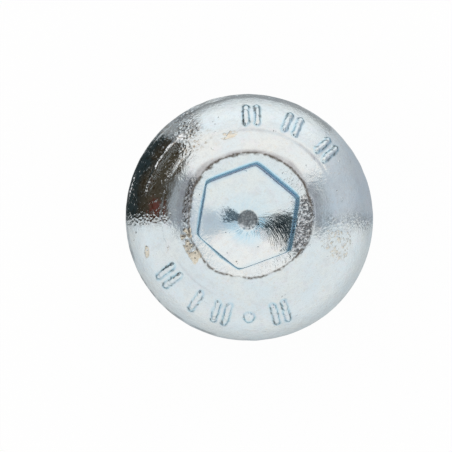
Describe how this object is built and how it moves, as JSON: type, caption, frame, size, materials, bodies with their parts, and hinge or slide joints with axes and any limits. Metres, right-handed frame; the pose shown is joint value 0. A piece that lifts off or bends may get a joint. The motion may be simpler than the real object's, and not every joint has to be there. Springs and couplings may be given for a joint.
{
  "type": "button head socket screw",
  "caption": "Zinc-plated steel machine screw with a low domed button head, a blind hexagon socket and a metric thread along the whole shank.",
  "frame": {"origin": "centre of the flat bearing face under the head, on the screw's axis", "axes": "+Z along the screw's axis, from the tip towards the top of the head; two corners of the hexagon socket lie on the X axis"},
  "size_m": [0.0138, 0.0138, 0.0203],
  "materials": {
    "zinc_plating": "bright bluish zinc plating over a hammered, cold-formed surface, with a few stains"
  },
  "bodies": {
    "root": {"screw": "zinc_plating"}
  },
  "joints": []
}
